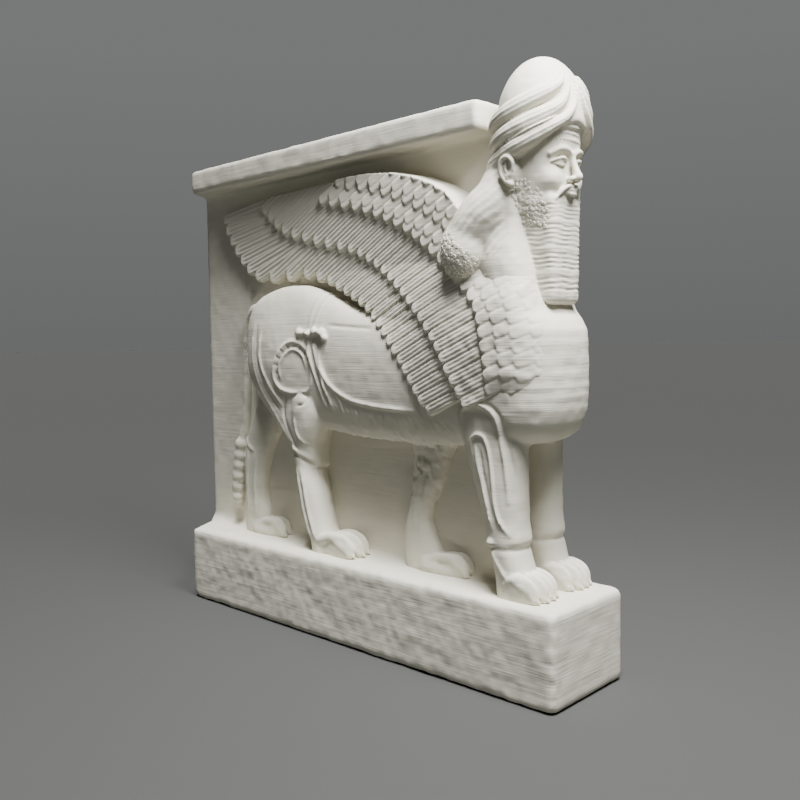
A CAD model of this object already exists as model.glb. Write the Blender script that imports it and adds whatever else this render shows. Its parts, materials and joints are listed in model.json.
# %% [markdown]
# # A small printed lamassu
#
# The object is a desk replica of an Assyrian guardian: a winged lion with a man's head, carved on a slab
# that stands on a plinth. It is printed in one piece, in matte bone-white plastic, so everything here has
# one finish and the work is all in the form.
#
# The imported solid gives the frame: its box, and where the plinth and the figure stand. Every form below
# is made again at the fineness of the print, inside that same box.

import json
import math

import bpy
import numpy as np
import openvdb
from mathutils import Matrix, Vector

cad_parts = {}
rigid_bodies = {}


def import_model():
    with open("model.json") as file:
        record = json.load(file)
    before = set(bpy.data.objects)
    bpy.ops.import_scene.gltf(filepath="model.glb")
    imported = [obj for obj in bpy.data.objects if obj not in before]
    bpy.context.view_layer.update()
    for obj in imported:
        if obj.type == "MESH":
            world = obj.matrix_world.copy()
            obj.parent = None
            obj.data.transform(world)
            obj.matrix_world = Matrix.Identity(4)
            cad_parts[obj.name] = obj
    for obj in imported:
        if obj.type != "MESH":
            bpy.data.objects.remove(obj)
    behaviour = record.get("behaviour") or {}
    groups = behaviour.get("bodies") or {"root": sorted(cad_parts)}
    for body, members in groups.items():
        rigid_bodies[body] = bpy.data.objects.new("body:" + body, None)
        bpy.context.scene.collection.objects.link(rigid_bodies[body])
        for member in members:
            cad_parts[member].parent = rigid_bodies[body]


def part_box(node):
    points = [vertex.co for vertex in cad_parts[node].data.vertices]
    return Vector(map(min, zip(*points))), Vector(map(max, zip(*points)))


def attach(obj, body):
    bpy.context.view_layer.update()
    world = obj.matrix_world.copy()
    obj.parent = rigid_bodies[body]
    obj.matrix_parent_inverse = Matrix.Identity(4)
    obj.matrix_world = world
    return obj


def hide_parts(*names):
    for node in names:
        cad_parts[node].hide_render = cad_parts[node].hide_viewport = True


for thing in list(bpy.data.objects):
    bpy.data.objects.remove(thing)
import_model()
cad_low, cad_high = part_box("lamassu")
print("frame", [round(1000 * value, 1) for value in (*cad_low, *cad_high)], "mm")

# %% [markdown]
# ## Sizes
#
# The block is measured in millimetres. The figure is a free form, so it is drawn as a sculptor draws it:
# in shares of its own height, 88.9 of them from its soles to the top of its cap. A place is written x along
# the body, out from the slab's face, and z above the soles. The figure's toes are at x = 96.6.

# %% Driving sizes
MM = 0.001
PLINTH_HEIGHT = 23.2 * MM
RELIEF_ROOM = 13.8 * MM
END_SLANT = 7.9 * MM
SLAB_HEIGHT = 110.9 * MM
SLAB_END_GAP = 21.4 * MM
LEDGE_HEIGHT = 7.5 * MM
LEDGE_OVERHANG = 8.1 * MM
LEDGE_END_GAP = 24.8 * MM
TOE_MARGIN = 4.8 * MM
SHARES_TALL = 88.9
SHARES_TO_TOES = 96.6

figure_height = cad_high.z - PLINTH_HEIGHT
SHARE = figure_height / SHARES_TALL
slab_face = cad_low.y + RELIEF_ROOM
toes_x = cad_high.x - TOE_MARGIN
MIDDLE = (slab_face - (cad_low.y + cad_high.y) / 2) / SHARE


def to_frame(x, out, z):
    """Places in shares, as metres in the frame."""
    return np.stack([
        toes_x + (x - SHARES_TO_TOES) * SHARE,
        slab_face - out * SHARE,
        PLINTH_HEIGHT + z * SHARE,
    ], axis=-1)


def to_shares(x, y, z):
    """A place in the frame, in metres, as shares."""
    return (
        (x - toes_x) / SHARE + SHARES_TO_TOES,
        (slab_face - y) / SHARE,
        (z - PLINTH_HEIGHT) / SHARE,
    )


print("one share is", round(SHARE / MM, 4), "mm; the figure's middle is", round(MIDDLE, 2), "shares out")

# %% [markdown]
# ## Clay
#
# A carved figure has no flat faces and no seams, so it isn't built from polygons but from distances. A
# block of clay is a grid that holds, at each place, how far the surface is. Forms are added by taking the
# nearer of two distances, softened where flesh runs together, and lines are pressed or raised by shifting
# the distance a little. The surface is then drawn out as a mesh by OpenVDB, which Blender carries.

# %% A block of clay
FAR = 4.0
MOST_TRIANGLES = 190000


class Clay:
    """Distances to a surface on a grid of places, in shares; inside is negative."""

    def __init__(self, low, high, step):
        self.low = np.array(low, float)
        self.step = step
        self.count = np.ceil((np.array(high) - self.low) / step).astype(int) + 1
        self.field = np.full(self.count, FAR, np.float32)

    def window(self, low, high):
        """The part of the grid between two corners: its slices, and its places as open axes."""
        first = np.clip(np.floor((np.array(low) - self.low) / self.step).astype(int), 0, self.count)
        last = np.clip(np.ceil((np.array(high) - self.low) / self.step).astype(int) + 1, 0, self.count)
        axes = [self.low[k] + self.step * np.arange(first[k], last[k]) for k in range(3)]
        x = axes[0].astype(np.float32)[:, None, None]
        out = axes[1].astype(np.float32)[None, :, None]
        z = axes[2].astype(np.float32)[None, None, :]
        return tuple(slice(a, b) for a, b in zip(first, last)), x, out, z

    def add(self, form, blend=0.0):
        """Joins a form on, running into what is there over the blend's width."""
        distance, low, high = form
        margin = blend + 2 * self.step
        part, x, out, z = self.window(np.array(low) - margin, np.array(high) + margin)
        here = self.field[part]
        if here.size:
            self.field[part] = soft_least(here, distance(x, out, z), blend)

    def cut(self, form, blend=0.0):
        """Cuts a form away."""
        distance, low, high = form
        margin = blend + 2 * self.step
        part, x, out, z = self.window(np.array(low) - margin, np.array(high) + margin)
        here = self.field[part]
        if here.size:
            self.field[part] = -soft_least(-here, distance(x, out, z), blend)

    def raise_by(self, amount, low, high):
        """Lifts the surface by a height that varies from place to place; a negative height presses it in."""
        part, x, out, z = self.window(low, high)
        if self.field[part].size:
            self.field[part] -= amount(x, out, z).astype(np.float32)

    def mesh(self, name):
        """The clay's surface as a mesh object, thinned to the most triangles a piece may have."""
        grid = openvdb.FloatGrid(FAR)
        grid.copyFromArray(self.field)
        points, _, quads = grid.convertToPolygons(isovalue=0.0, adaptivity=0.0)
        shares = self.low + self.step * points
        places = to_frame(shares[:, 0], shares[:, 1], shares[:, 2])
        piece = mesh_object(name, places, quads[:, ::-1])
        thin(piece, MOST_TRIANGLES)
        return piece


def soft_least(a, b, blend):
    """The lesser of two distances, rounded where they are within a blend of each other."""
    if blend <= 0:
        return np.minimum(a, b)
    near = np.maximum(blend - np.abs(a - b), 0) / blend
    return np.minimum(a, b) - near * near * (blend / 4)


def mesh_object(name, places, faces):
    """A mesh object in the scene, shaded smooth, from arrays of places and faces."""
    mesh = bpy.data.meshes.new(name)
    mesh.from_pydata(places.tolist(), [], faces.tolist())
    mesh.validate()
    mesh.shade_smooth()
    piece = bpy.data.objects.new(name, mesh)
    bpy.context.scene.collection.objects.link(piece)
    return piece


def triangles(piece):
    """How many triangles a piece's faces make."""
    return sum(len(face.vertices) - 2 for face in piece.data.polygons)


def thin(piece, most):
    """Merges the flattest triangles until the piece has no more than so many."""
    count = triangles(piece)
    if count > most:
        modifier = piece.modifiers.new("thin", "DECIMATE")
        modifier.ratio = most / count
        settle(piece)
    print(piece.name, "has", triangles(piece), "triangles, from", count)


def settle(piece):
    """Applies a piece's modifiers by taking its evaluated mesh."""
    depsgraph = bpy.context.evaluated_depsgraph_get()
    mesh = bpy.data.meshes.new_from_object(piece.evaluated_get(depsgraph))
    old = piece.data
    piece.modifiers.clear()
    piece.data = mesh
    bpy.data.meshes.remove(old)
    mesh.name = piece.name
    mesh.shade_smooth()


# %% [markdown]
# ## Forms
#
# Four kinds of form make the whole figure: an egg, a limb that follows a line with its own thickness at
# each point, a stack of level slices with rounded outlines, and the same stack laid along the body.

# %% Eggs, limbs and stacks
def egg(centre, radii):
    """An ellipsoid."""
    c = np.array(centre, np.float32)
    r = np.array(radii, np.float32)

    def distance(x, out, z):
        p = ((x - c[0]) / r[0], (out - c[1]) / r[1], (z - c[2]) / r[2])
        k0 = np.sqrt(p[0] ** 2 + p[1] ** 2 + p[2] ** 2)
        k1 = np.sqrt((p[0] / r[0]) ** 2 + (p[1] / r[1]) ** 2 + (p[2] / r[2]) ** 2)
        return k0 * (k0 - 1) / np.maximum(k1, 1e-5)

    return distance, c - r, c + r


def smooth_line(places, steps):
    """Points on a smooth curve through the places, a few steps between each two (Catmull-Rom)."""
    p = np.array(places, float)
    p = np.vstack([2 * p[0] - p[1], p, 2 * p[-1] - p[-2]])
    rows = []
    for i in range(1, len(p) - 2):
        for t in np.arange(steps) / steps:
            a = 2 * p[i]
            b = p[i + 1] - p[i - 1]
            c = 2 * p[i - 1] - 5 * p[i] + 4 * p[i + 1] - p[i + 2]
            d = -p[i - 1] + 3 * p[i] - 3 * p[i + 1] + p[i + 2]
            rows.append((a + b * t + c * t * t + d * t ** 3) / 2)
    rows.append(p[-2])
    return np.array(rows)


def limb(places, steps=5):
    """A round limb through places written x, out, z, radius."""
    line = smooth_line(places, steps).astype(np.float32)
    low = (line[:, :3] - line[:, 3:]).min(0)
    high = (line[:, :3] + line[:, 3:]).max(0)

    def distance(x, out, z):
        least = np.full(np.broadcast_shapes(x.shape, out.shape, z.shape), 1e3, np.float32)
        for start, end in zip(line[:-1], line[1:]):
            run = end[:3] - start[:3]
            length = max(float(run @ run), 1e-9)
            t = ((x - start[0]) * run[0] + (out - start[1]) * run[1] + (z - start[2]) * run[2]) / length
            t = np.clip(t, 0, 1)
            gap = (x - start[0] - t * run[0]) ** 2 + (out - start[1] - t * run[1]) ** 2
            gap = np.sqrt(gap + (z - start[2] - t * run[2]) ** 2)
            least = np.minimum(least, gap - start[3] - t * (end[3] - start[3]))
        return least

    return distance, low, high


def slice_gap(across, half_across, out, half_out, power):
    """How far a place is from a rounded oblong outline, measured from its centre."""
    p = across / half_across
    q = out / half_out
    size = (np.abs(p) ** power + np.abs(q) ** power) ** (1 / power)
    reach = np.sqrt(across ** 2 + out ** 2)
    return reach * (1 - 1 / np.maximum(size, 1e-4))


def stack(stations, power=2.3, along_x=False, steps=6):
    """Level slices at stations (z, low x, high x, low out, high out), or upright ones along the body
    at stations (x, low z, high z, low out, high out)."""
    table = smooth_line(stations, steps)
    table = table[np.argsort(table[:, 0])]
    height, a0, a1, o0, o1 = table.T
    span = (height[0], height[-1])
    low = [span[0], o0.min(), a0.min()] if along_x else [a0.min(), o0.min(), span[0]]
    high = [span[1], o1.max(), a1.max()] if along_x else [a1.max(), o1.max(), span[1]]

    def distance(x, out, z):
        level, side = (x, z) if along_x else (z, x)

        def at_level(values):
            return np.interp(level, height, values).astype(np.float32)

        centre = (at_level(a0) + at_level(a1)) / 2
        half = (at_level(a1) - at_level(a0)) / 2
        out_centre = (at_level(o0) + at_level(o1)) / 2
        out_half = (at_level(o1) - at_level(o0)) / 2
        gap = slice_gap(side - centre, half, out - out_centre, out_half, power)
        return np.maximum(gap, np.maximum(span[0] - level, level - span[1]).astype(np.float32))

    return distance, np.array(low), np.array(high)


# %% [markdown]
# ## Drawn lines
#
# Folds, cords, tendons and strokes of fur are lines drawn on the carved side. Each is a smooth line in
# x and z, pressed or raised with a rounded profile.

# %% A drawn line
def draw_line(clay, places, width, height, least_out=-50.0, steps=5):
    """Raises a line that thins at its ends; places are x, z. A negative height presses it in."""
    line = smooth_line(places, steps)
    low = [line[:, 0].min() - 3 * width, least_out, line[:, 1].min() - 3 * width]
    high = [line[:, 0].max() + 3 * width, 50.0, line[:, 1].max() + 3 * width]
    part, x, out, z = clay.window(low, high)
    if not clay.field[part].size:
        return
    x = x[:, 0, :]
    z = z[0, :, :]
    least = np.full(np.broadcast_shapes(x.shape, z.shape), 1e3, np.float32)
    along = np.zeros_like(least)
    for k, (start, end) in enumerate(zip(line[:-1], line[1:])):
        run = end - start
        length = max(float(run @ run), 1e-9)
        t = np.clip(((x - start[0]) * run[0] + (z - start[1]) * run[1]) / length, 0, 1)
        gap = (x - start[0] - t * run[0]) ** 2 + (z - start[1] - t * run[1]) ** 2
        along = np.where(gap < least, (k + t) / (len(line) - 1), along)
        least = np.minimum(least, gap)
    end_thinning = np.clip(0.3 + 6 * np.minimum(along, 1 - along), 0, 1)
    lift = (height * end_thinning * np.exp(-least / (width / 2) ** 2)).astype(np.float32)
    clay.field[part] -= lift[:, None, :]


# %% [markdown]
# ## Roughness
#
# A print of a scan keeps the worn stone's lumps. Seeded noise, smoothed between the points of a coarse
# lattice, gives the same lumps each time the script runs.

# %% Lumps
LATTICE = 48
EVERYWHERE = ((-50, -50, -50), (150, 50, 150))


def lumps(x, out, z, size, seed):
    """Smooth noise from -1 to 1 whose lumps are about so many shares across."""
    values = np.random.default_rng(seed).uniform(-1, 1, (LATTICE, LATTICE, LATTICE)).astype(np.float32)
    places = [np.mod(axis / size, LATTICE) for axis in (x, out, z)]
    cells = [np.floor(place).astype(int) for place in places]
    ease = [(place - cell) ** 2 * (3 - 2 * (place - cell)) for place, cell in zip(places, cells)]
    total = 0
    for corner in np.ndindex(2, 2, 2):
        index = [(cell + step) % LATTICE for cell, step in zip(cells, corner)]
        weight = 1
        for step, share in zip(corner, ease):
            weight = weight * (share if step else 1 - share)
        total = total + weight * values[index[0], index[1], index[2]]
    return total


# %% [markdown]
# ## The lion's body
#
# The lion is in high relief: a deep flank and haunch, four legs seen from the side and the fifth that
# such guardians have, so that they stand when seen from the front and stride when seen from the side. The
# chest and forelegs come out past the slab's end in the round.

# %% Chest, trunk and haunch
IN_SLAB = -2.0
CHEST_X = 88.0
CHEST_HALF = 9.2
CHEST_POWER = 2.5
chest_stations = np.array([
    [25.5, 4, 4], [26.3, 6.4, 6.4], [28, 8.2, 8.2], [31, 9.3, 9], [36, 9.6, 9.2], [43, 9.4, 9.2],
    [45.5, 8.5, 9.1], [47.5, 6.9, 9.0], [49, 6.2, 8.8], [54, 4.6, 8.0], [57, 3.7, 7.4], [60, 2.9, 6.7],
    [65, 2.4, 5.6], [70, 2.4, 4.8],
])


def across(out):
    """The same place on the figure's hidden side."""
    return 2 * MIDDLE - out


def ringed(centre_x, stations):
    """Rows for a stack round the figure's middle; a station is z, half its length, half its width."""
    return [
        (z, centre_x - reach, centre_x + reach, MIDDLE - side, MIDDLE + side) for z, reach, side in stations
    ]


def carve_body():
    """The whole lion without its wing and head, at about a third of a millimetre."""
    clay = Clay((2.5, -13, -2), (100, 10.5, 72), 0.25)
    trunk = stack([
        (13.5, 43, 46, IN_SLAB, 1), (14.5, 39, 48, IN_SLAB, 3), (17, 33, 51, IN_SLAB, 5),
        (20.5, 30, 53.2, IN_SLAB, 6.1), (28, 27, 54.7, IN_SLAB, 6.8), (36, 25.6, 54.5, IN_SLAB, 7),
        (44, 24.8, 51.8, IN_SLAB, 6.9), (52, 24.2, 49, IN_SLAB, 6.9), (64, 23.9, 48, IN_SLAB, 7),
        (76, 24.3, 50, IN_SLAB, 7.3), (86, 26.5, 50, IN_SLAB, 7.6), (90, 27, 50, IN_SLAB, 7.6),
    ], 2.5, along_x=True)
    clay.add(trunk)
    clay.add(stack(ringed(CHEST_X, chest_stations), CHEST_POWER), 1.5)
    clay.add(egg((28.5, 0.5, 40.5), (13.4, 7.2, 14)), 1.5)
    return clay


body_clay = carve_body()
print("body clay", body_clay.field.shape)

# %% Legs and paws
def carve_thigh(clay):
    """The near hind thigh, and the round shin that stands out from it and goes down to the paw."""
    clay.add(stack([
        (46, 20, 40, IN_SLAB, 6), (40, 16.8, 42.5, IN_SLAB, 7), (35, 17.6, 42.3, IN_SLAB, 7.2),
        (30, 21.6, 41, IN_SLAB, 7.1), (26, 26.4, 39.8, IN_SLAB, 7), (22.5, 30, 38.5, IN_SLAB, 6.7),
        (20, 32, 38, IN_SLAB, 6.2), (17, 33.5, 38, IN_SLAB, 5),
    ], 2.6), 1.5)
    clay.add(stack([
        (32.6, 34.5, 39.5, 2, 6.6), (31.4, 32.8, 41, 1, 7.5), (28, 32.2, 41.6, 0, 7.7),
        (24, 32.4, 40, 0, 7.4), (21.1, 32.6, 37.6, 0, 7), (18.3, 32.5, 37, 0, 6.7),
        (15.6, 33.2, 37.8, 0, 6.6), (12.2, 33.7, 39.4, 0, 6.6), (8.8, 34.3, 40.3, 0, 6.6),
        (5.4, 35.6, 41.4, 0, 6.6), (2.7, 36.9, 42.6, 0, 6.6), (-1.5, 37.7, 43.6, 0, 6.6),
    ], 2.15), 0.35)
    clay.add(egg((34.4, 5.2, 18.6), (1.3, 1.3, 2)), 0.5)
    carve_relief_leg(clay, [
        (20, 33.5, 36.2, 1.2), (12, 34.5, 38, 1.2), (5, 36.5, 40, 1.4), (-1.5, 38, 41.5, 1.6),
    ])


def carve_relief_leg(clay, rows):
    """A leg in low relief against the slab."""
    clay.add(stack([(z, x0, x1, IN_SLAB, out) for z, x0, x1, out in rows], 2.6), 1.0)


def carve_foreleg(clay, mirrored):
    """A foreleg in the round, from the shoulder to the paw."""
    outer, inner = 7.5, 0.4
    rows = [
        (33, 79.5, 89), (29, 78, 90.6), (25, 78.8, 90.9), (18.7, 81, 90.7), (12.4, 83.4, 90.7),
        (9.6, 84, 91.1), (8.4, 84.7, 90.7), (7, 85, 91), (4.1, 85.6, 91.8), (1.3, 85.9, 92.6),
        (-1.5, 86, 92.8),
    ]
    places = []
    for z, x0, x1 in rows:
        sides = sorted((across(outer), across(inner)) if mirrored else (inner, outer))
        places.append((z, x0, x1, *sides))
    clay.add(stack(places, 2.4), 1.2)
    knob = 6.6
    clay.add(egg((86, across(knob) if mirrored else knob, 9), (1.2, 1.2, 0.9)), 0.4)


def carve_paw(clay, heel, tip, outs, height):
    """Round toes side by side, each with a knuckle, a pad and a blunt claw."""
    width = abs(outs[1] - outs[0])
    for k, out in enumerate(outs):
        end = tip - 0.35 * width * abs(k - (len(outs) - 1) / 2)
        toe = [
            (heel, out, 0.5 * height, 0.56 * width), (end - 2.8 * width, out, 0.7 * height, 0.58 * width),
            (end - 1.9 * width, out, 0.52 * height, 0.6 * width),
            (end - 1.1 * width, out, 0.36 * height, 0.54 * width),
            (end - 0.6 * width, out, 0.4 * width, 0.48 * width),
        ]
        clay.add(limb(toe), 0.15)
        clay.add(egg((end - 2.1 * width, out, 0.3 * height), (2.0 * width, 0.55 * width, 0.62 * height)), 0.2)
        knuckle = (0.7 * width, 0.52 * width, 0.55 * width)
        clay.add(egg((end - 2.2 * width, out, 0.72 * height), knuckle), 0.15)
        clay.add(egg((end - 1.0 * width, out, 0.42 * height), (0.6 * width, 0.5 * width, 0.5 * width)), 0.12)
        claw = [(end - 0.5 * width, out, 0.55 * width, 0.24 * width), (end, out, 0.2 * width, 0.14 * width)]
        clay.add(limb(claw), 0.1)
    middle = outs.mean()
    bed = [(heel, middle, 0.2 * height, 1.4 * width), (tip - 3.1 * width, middle, 0.02 * height, 1.2 * width)]
    clay.add(limb(bed), 0.6)


carve_thigh(body_clay)
carve_relief_leg(body_clay, [
    (37, 19.5, 26, 0.5), (31, 16, 26, 2), (25, 12.2, 23.5, 2.4), (20, 10.3, 20, 2.4),
    (16.5, 9.6, 18.3, 2.5), (12, 9.5, 17.4, 2.5), (8, 9.6, 17, 2.5), (4, 9.6, 18.2, 2.7),
    (-1.5, 9.8, 18.5, 2.8),
])
carve_relief_leg(body_clay, [
    (29, 61, 78, 3), (25, 62.5, 74.5, 2.8), (21.6, 63, 71.8, 2.5), (17, 62.7, 70.2, 2.3),
    (12, 62, 67.4, 2.3), (9.5, 61.2, 67, 2.3), (6.5, 60.4, 68, 2.5), (3, 60.6, 69.5, 2.7),
    (-1.5, 61, 70, 2.8),
])
for mirrored in (False, True):
    carve_foreleg(body_clay, mirrored)
fore_toes = np.linspace(1.3, 6.7, 4)
carve_paw(body_clay, 89, 96.4, fore_toes, 4.8)
carve_paw(body_clay, 89, 96.4, across(fore_toes), 4.8)
carve_paw(body_clay, 41, 51.4, np.linspace(1.3, 5.5, 3), 4.9)
carve_paw(body_clay, 15.5, 25.4, np.array([0.3, 1.9]), 4.4)
carve_paw(body_clay, 67, 77.4, np.array([0.3, 1.9]), 4.4)
print("legs and paws done")

# %% Tail
body_clay.add(limb([
    (18, 1.0, 50.5, 1.5), (14.4, 0.8, 50, 1.5), (11.9, 0.5, 46.5, 1.3), (10.7, 0.4, 40, 1.2),
    (10.2, 0.4, 33, 1.15), (9.6, 0.3, 27, 1.1), (8.8, 0.3, 22, 1.3), (7.6, 0.3, 17, 1.8),
    (6.4, 0.3, 12, 1.9), (5.8, 0.3, 8, 1.7), (5.6, 0.2, 5, 1.0),
]), 0.3)
for level in (19.5, 17, 14.5, 12, 9.5, 7):
    body_clay.add(egg((5.2 + 0.14 * level, 1.1, level), (1.7, 1.2, 1.5)), 0.6)
print("tail done")

# %% [markdown]
# The surface of the body carries the carver's drawing: the muscle arcs of the haunch, a girdle with its
# knot and tassel, the fringe of fur along the belly, and the tendons of the legs.

# %% Drawing on the haunch
def draw_haunch(clay):
    """The girdle with its ring and tassel, muscle arcs round the haunch, and sinews down to the hock."""
    ring = [
        (40.4, 37.6), (39.4, 41.2), (36, 43.1), (32.6, 42.2), (29.8, 38.4), (29.5, 35.2), (31.6, 33.2),
        (35.5, 32.6), (39, 33), (40.4, 35), (40.4, 37.6),
    ]
    draw_line(clay, ring, 0.9, 0.42)
    inner_ring = [(39, 37.6), (38.1, 40.2), (35.6, 41.5), (33.1, 40.5), (31.2, 37.8), (31.4, 35.4)]
    draw_line(clay, inner_ring, 0.6, 0.3)
    for k in range(9):
        turn = math.radians(20 + 22 * k)
        c, s = math.cos(turn), math.sin(turn)
        notch = [(35.1 + 4.2 * c, 37.9 + 3.8 * s), (35.1 + 5.3 * c, 37.9 + 4.9 * s)]
        draw_line(clay, notch, 0.5, -0.2, steps=2)
    knot = ((37, 45, 1.1), (39.8, 44.6, 0.8), (41.4, 45.3, 0.8), (43.6, 44.9, 1.05), (44.5, 43.7, 0.8))
    for x, z, size in knot:
        clay.add(egg((x, 6.8, z), (size, 0.7, 0.75 * size)), 0.4)
    draw_line(clay, [(36.4, 44.4), (38.8, 45), (41, 44.4), (43, 45), (45, 44)], 1.0, 0.35)
    for shift in (0, 1.7):
        draw_line(clay, [(39.6 + shift, 45.6), (40.6 + shift, 49.8), (41.8 + shift, 54.6)], 0.6, 0.3)
        cord = [(39.4 + shift, 43.4), (40.8 + shift, 38.5), (42.6 + shift, 34), (45 + shift, 28.5)]
        draw_line(clay, cord, 0.7, 0.4)
    draw_line(clay, [(40.3, 43), (41.6, 38.5), (43.4, 34), (45.4, 30)], 0.4, -0.25)
    draw_line(clay, [(21.2, 47.5), (21, 40), (23.6, 33.2), (28.8, 27.4), (32.6, 22.4)], 0.8, 0.25)
    draw_line(clay, [(22.6, 46.6), (22.6, 40), (25.2, 34), (30, 28.6)], 0.6, -0.3)
    draw_line(clay, [(24.4, 45.4), (24.4, 39.6), (26.8, 34.6), (31, 30)], 0.7, 0.3)
    draw_line(clay, [(32.6, 32), (31.6, 28.5), (32.6, 25), (34.2, 22.6), (35.6, 21)], 0.7, -0.35)
    draw_line(clay, [(34.6, 31.6), (36.6, 32.6), (39, 32), (38.4, 30.4), (36.4, 30)], 0.5, -0.25)
    draw_line(clay, [(35.4, 27.5), (36, 24.5), (38, 21.6)], 0.6, 0.28)
    draw_line(clay, [(45.2, 46.2), (50.5, 45.7), (57, 45.3)], 0.7, -0.35)


def draw_flank(clay):
    """The raised edge of the belly's fur, and the strokes that hang from it."""
    edge = [(42.6, 41), (43.8, 37), (46.8, 33.8), (51.5, 31.7), (57, 30.8), (63, 30.4), (69, 30.2)]
    draw_line(clay, edge, 0.8, 0.45)
    line = smooth_line(edge, 10)
    for i in range(6, len(line) - 2, 2):
        x, z = line[i]
        sway = 0.5 * math.sin(2.3 * i)
        stroke = [(x, z - 0.6), (x + 0.8 + sway, z - 2.4), (x + 0.6, z - 4.4 + 0.4 * sway)]
        draw_line(clay, stroke, 0.55, 0.14)


def draw_legs(clay):
    """Sinews, wrist folds and the outline of the shoulder."""
    for shift in (-2.3, -0.9, 0.6):
        tendon = [(35.5, 16.4), (36.6, 12.2), (37.4, 8.8), (38.6, 5.4), (39.8, 2.7)]
        draw_line(clay, [(x + shift, z) for x, z in tendon], 0.75, 0.38, least_out=3)
    draw_line(clay, [(33.6, 21.4), (35.4, 20.6), (38.2, 18.2)], 0.8, 0.35, least_out=4)
    draw_line(clay, [(33.8, 20.2), (35.6, 19.2), (38, 16.8)], 0.5, -0.3, least_out=4)
    for x0, x1 in ((12.5, 11.8), (15.5, 14.6)):
        draw_line(clay, [(x0, 18.5), (x1, 12), (x1 + 0.3, 5)], 0.9, 0.3)
    draw_line(clay, [(10.5, 22), (12, 20), (14.5, 18.6)], 0.9, 0.35)
    shoulder = [
        (79, 27), (79.5, 30.4), (81.2, 31.8), (83.8, 32.2), (86.1, 31.5), (87.7, 29.9), (88.2, 26.6),
        (88.8, 23), (89.2, 19.5), (89.4, 16),
    ]
    draw_line(clay, shoulder, 0.7, 0.42, least_out=3)
    draw_line(clay, [(x + 0.9, z + 0.4) for x, z in shoulder[3:-1]], 0.5, -0.22, least_out=3)
    inner = [
        (82, 23.6), (82.1, 26), (83.3, 27), (84.7, 26.8), (85.6, 25.4), (86.2, 23), (86.7, 19.2),
        (87.1, 15.5), (88.1, 12.7), (89.7, 10.6),
    ]
    draw_line(clay, inner, 0.6, 0.4, least_out=3)
    sinew = [(83, 25.2), (83.5, 21.9), (84.5, 18.6), (85.5, 14.9), (86.4, 11.4)]
    draw_line(clay, sinew, 0.6, 0.34, least_out=3)
    draw_line(clay, [(84, 24.6), (84.5, 21.4), (85.4, 18), (86.2, 14.6)], 0.6, -0.25, least_out=3)
    draw_line(clay, [(83.6, 8.1), (86, 8.2), (89, 8), (92, 8.4)], 0.8, -0.16, least_out=-15)
    draw_line(clay, [(85.8, 8), (87.4, 5.6), (89.4, 3.4)], 0.8, 0.3, least_out=3)
    fleece = np.random.default_rng(5)
    for row in range(8):
        for x in np.arange(62.5, 72, 1.5):
            z = 26 - 2.4 * row + fleece.uniform(-0.4, 0.4)
            draw_line(clay, [(x, z), (x + fleece.uniform(-0.5, 0.5), z - 1.6)], 0.6, 0.14, steps=2)

    def rough(x, out, z):
        return 0.2 * lumps(x, out, z, 0.75, 15) * np.clip((z - 7) / 6, 0.25, 1)

    clay.raise_by(rough, (60, -1, 0), (77, 3.6, 31))


def draw_chest(clay):
    """Worn level bands over the breast, and short fur under the belly."""

    def bands(x, out, z):
        level = z + 0.35 * lumps(x, out, z, 3.5, 16)
        place = np.clip((x - 90) / 3, 0, 1) * np.clip((z - 27) / 3, 0, 1) * np.clip((47 - z) / 3, 0, 1)
        return 0.026 * np.sin(2.9 * level + 1.4 * np.sin(0.55 * z)) * place

    def fur(x, out, z):
        place = np.clip((31 - z) / 2, 0, 1) * np.clip((x - 42) / 4, 0, 1) * np.clip((79 - x) / 2, 0, 1)
        return 0.2 * lumps(1.5 * x + 0.6 * z, out, 0.6 * z, 0.8, 17) * place

    clay.raise_by(bands, (88, -12, 25), (99, 10, 50))
    clay.raise_by(fur, (40, 2.5, 12), (80, 9, 33))


draw_haunch(body_clay)
draw_flank(body_clay)
draw_legs(body_clay)
draw_chest(body_clay)
body_clay.raise_by(lambda x, out, z: 0.07 * lumps(x, out, z, 1.6, 11), *EVERYWHERE)
body = body_clay.mesh("lion_body")

# %% [markdown]
# ## The wing
#
# The wing is carved in tiers: a row of long feathers with its tips free over the rump, a second row on
# top of it, and rows of short scales that run on over the shoulder and fade on the breast. A tier is a row
# of tips along a curve, and every feather is one finger: a rounded tip, a raised shaft between two
# grooves, and edges that fall away to its neighbours. The tiers are painted into a map of heights, the
# upper ones last, and the map is laid over the body like a skin.

# %% The wing's rows
LONG_ROW = [
    (3.9, 74.2), (4.6, 69.5), (8.5, 63.5), (14.5, 58), (22, 56.6), (34.6, 56.6), (45.8, 53), (56.4, 47.3),
    (64.4, 39.5), (70.2, 32), (73.4, 29.2),
]
SECOND_ROW = [
    (18.2, 74.4), (19.6, 71.5), (26.2, 66.6), (38.1, 63), (51.2, 59.6), (61.8, 53.5), (72.5, 44.2),
    (77.7, 36.2), (80.8, 31.6),
]
SCALE_ROW = [
    (38.6, 73), (40.3, 71), (52.7, 67.9), (65.3, 62.8), (75.7, 55.3), (83.2, 48), (85.4, 40.5), (86.2, 34),
]
WING_TOP = np.array([
    (2, 74.9), (34, 75), (48, 75.2), (55, 74.9), (61.8, 74), (67.5, 72.6), (72.9, 70.5), (76.5, 68.4),
    (79.5, 65), (82, 60), (84.5, 56.5), (88, 55), (101, 53),
])


def feather_turn(x):
    """The feathers point back and down, and almost level at the wing's tip."""
    level = np.clip((x - 3) / 20, 0, 1)
    root = np.clip((x - 55) / 25, 0, 1)
    return np.radians(6 + 21 * level - 5 * root)


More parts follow.
